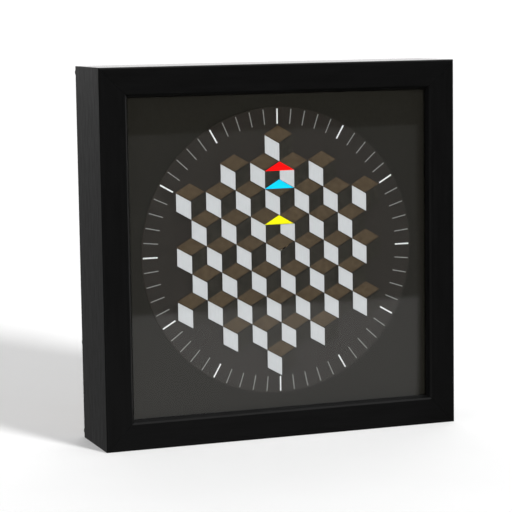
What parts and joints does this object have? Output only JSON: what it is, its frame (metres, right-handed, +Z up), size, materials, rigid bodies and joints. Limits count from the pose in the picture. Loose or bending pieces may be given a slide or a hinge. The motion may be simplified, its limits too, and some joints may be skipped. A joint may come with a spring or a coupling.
{
  "type": "framed wall clock",
  "caption": "Square box-framed clock: coaxial clear discs behind glass carry a pattern of cubes and flat triangles that point out the time, driven by a quartz movement.",
  "frame": {"origin": "middle of the underside, halfway through the whole depth", "axes": "+X to the right seen from the front, +Y from the dial to the back, +Z up; the dial's axis is parallel to Y, 125 mm up"},
  "size_m": [0.25, 0.059, 0.25],
  "materials": {
    "frame_black": "black stain under a thin satin lacquer",
    "raw_wood": "planed, unfinished",
    "glazing": "clear, flat, polished",
    "dial_paper": "matt dark brown grey sheet on fibreboard",
    "dial_circle": "matt, a little lighter than the board",
    "mark_white": "matt white",
    "mark_grey": "matt grey",
    "clear_disc": "clear polished sheet",
    "tile_white": "matt pale grey white",
    "tile_dark": "matt near black",
    "tile_brown": "thin dark brown veneer",
    "pointer_red": "bright red",
    "pointer_blue": "bright sky blue",
    "pointer_yellow": "bright yellow",
    "brass": "turned",
    "steel": "zinc plated",
    "gear_white": "moulded",
    "magnet": "sintered",
    "case_black": "moulded, fine texture",
    "case_clear_grey": "moulded, satin",
    "copper_wire": "enamelled copper",
    "circuit": "green solder mask",
    "fibreboard": "brown hardboard",
    "rubber_black": "soft",
    "battery_sleeve": "printed sleeve, blank"
  },
  "bodies": {
    "frame": {"rail_top": "frame_black", "rail_right": "frame_black", "rail_bottom": "frame_black", "rail_left": "frame_black", "corner_blocks": "raw_wood", "glazing_pane": "glazing", "spacer_top": "dial_paper", "spacer_bottom": "dial_paper", "spacer_left": "dial_paper", "spacer_right": "dial_paper", "dial_board": "dial_paper", "dial_plate": "dial_circle", "major_ticks": "mark_white", "minor_ticks": "mark_grey", "movement_front_shell": "case_black", "movement_back_shell": "case_clear_grey", "threaded_bush": "brass", "bush_nut": "brass", "train_bridge": "gear_white", "stator": "steel", "coil_core": "steel", "coil_bobbin": "gear_white", "coil_winding": "copper_wire", "circuit_board": "circuit", "quartz_crystal": "steel", "contact_negative": "steel", "contact_positive": "steel", "back_panel": "fibreboard", "turn_button_screws": "steel", "hanger": "steel", "hanger_screws": "steel", "bumper_pads": "rubber_black"},
    "second_hand": {"second_disc": "clear_disc", "second_tiles": "tile_white", "second_pointer": "pointer_red", "second_arbor": "steel"},
    "minute_hand": {"minute_disc": "clear_disc", "minute_tiles": "tile_dark", "minute_pointer": "pointer_blue", "minute_collet": "clear_disc", "minute_arbor": "brass"},
    "hour_hand": {"hour_disc": "clear_disc", "hour_tiles": "tile_brown", "hour_pointer": "pointer_yellow", "hour_collet": "brass", "hour_wheel": "gear_white"},
    "third_wheel_body": {"third_wheel": "gear_white"},
    "centre_wheel_body": {"centre_wheel": "gear_white"},
    "fifth_wheel_body": {"fifth_wheel": "gear_white"},
    "rotor_body": {"rotor": "magnet"},
    "motion_wheel_body": {"motion_wheel": "gear_white"},
    "setting_knob_body": {"setting_knob": "case_black"},
    "battery_body": {"battery": "battery_sleeve"},
    "button_top": {"turn_button_top": "steel"},
    "button_bottom": {"turn_button_bottom": "steel"},
    "button_left": {"turn_button_left": "steel"},
    "button_right": {"turn_button_right": "steel"}
  },
  "joints": [
    {"name": "second_spin", "type": "hinge", "parent": "frame", "child": "second_hand", "pos_m": [0, 0, 0.125], "axis": [0, 1, 0], "continuous": true},
    {"name": "minute_spin", "type": "hinge", "parent": "frame", "child": "minute_hand", "pos_m": [0, 0, 0.125], "axis": [0, 1, 0], "continuous": true},
    {"name": "hour_spin", "type": "hinge", "parent": "frame", "child": "hour_hand", "pos_m": [0, 0, 0.125], "axis": [0, 1, 0], "continuous": true},
    {"name": "third_spin", "type": "hinge", "parent": "frame", "child": "third_wheel_body", "pos_m": [-0.00816, 0, 0.125], "axis": [0, 1, 0], "continuous": true},
    {"name": "centre_spin", "type": "hinge", "parent": "frame", "child": "centre_wheel_body", "pos_m": [0, 0, 0.125], "axis": [0, 1, 0], "continuous": true},
    {"name": "fifth_spin", "type": "hinge", "parent": "frame", "child": "fifth_wheel_body", "pos_m": [0.00789, 0, 0.12213], "axis": [0, 1, 0], "continuous": true},
    {"name": "rotor_spin", "type": "hinge", "parent": "frame", "child": "rotor_body", "pos_m": [0.01349, 0, 0.12213], "axis": [0, 1, 0], "continuous": true},
    {"name": "motion_spin", "type": "hinge", "parent": "frame", "child": "motion_wheel_body", "pos_m": [0, 0, 0.1322], "axis": [0, 1, 0], "continuous": true},
    {"name": "knob_spin", "type": "hinge", "parent": "frame", "child": "setting_knob_body", "pos_m": [0, 0, 0.1394], "axis": [0, 1, 0], "continuous": true},
    {"name": "battery_slide", "type": "slide", "parent": "frame", "child": "battery_body", "axis": [0, 1, 0], "range_m": [0, 0.045]},
    {"name": "button_top_turn", "type": "hinge", "parent": "frame", "child": "button_top", "pos_m": [-0.06, 0, 0.24575], "axis": [0, 1, 0], "range_deg": [-90, 90]},
    {"name": "button_bottom_turn", "type": "hinge", "parent": "frame", "child": "button_bottom", "pos_m": [0.06, 0, 0.00425], "axis": [0, 1, 0], "range_deg": [-90, 90]},
    {"name": "button_left_turn", "type": "hinge", "parent": "frame", "child": "button_left", "pos_m": [-0.12075, 0, 0.065], "axis": [0, 1, 0], "range_deg": [-90, 90]},
    {"name": "button_right_turn", "type": "hinge", "parent": "frame", "child": "button_right", "pos_m": [0.12075, 0, 0.185], "axis": [0, 1, 0], "range_deg": [-90, 90]}
  ],
  "couplings": [
    {"joint": "third_spin", "follows": "second_spin", "ratio": -0.13333},
    {"joint": "centre_spin", "follows": "second_spin", "ratio": 0.016667},
    {"joint": "fifth_spin", "follows": "second_spin", "ratio": -5},
    {"joint": "rotor_spin", "follows": "second_spin", "ratio": 30},
    {"joint": "hour_spin", "follows": "minute_spin", "ratio": 0.083333},
    {"joint": "motion_spin", "follows": "minute_spin", "ratio": -0.33333},
    {"joint": "knob_spin", "follows": "minute_spin", "ratio": 1}
  ]
}
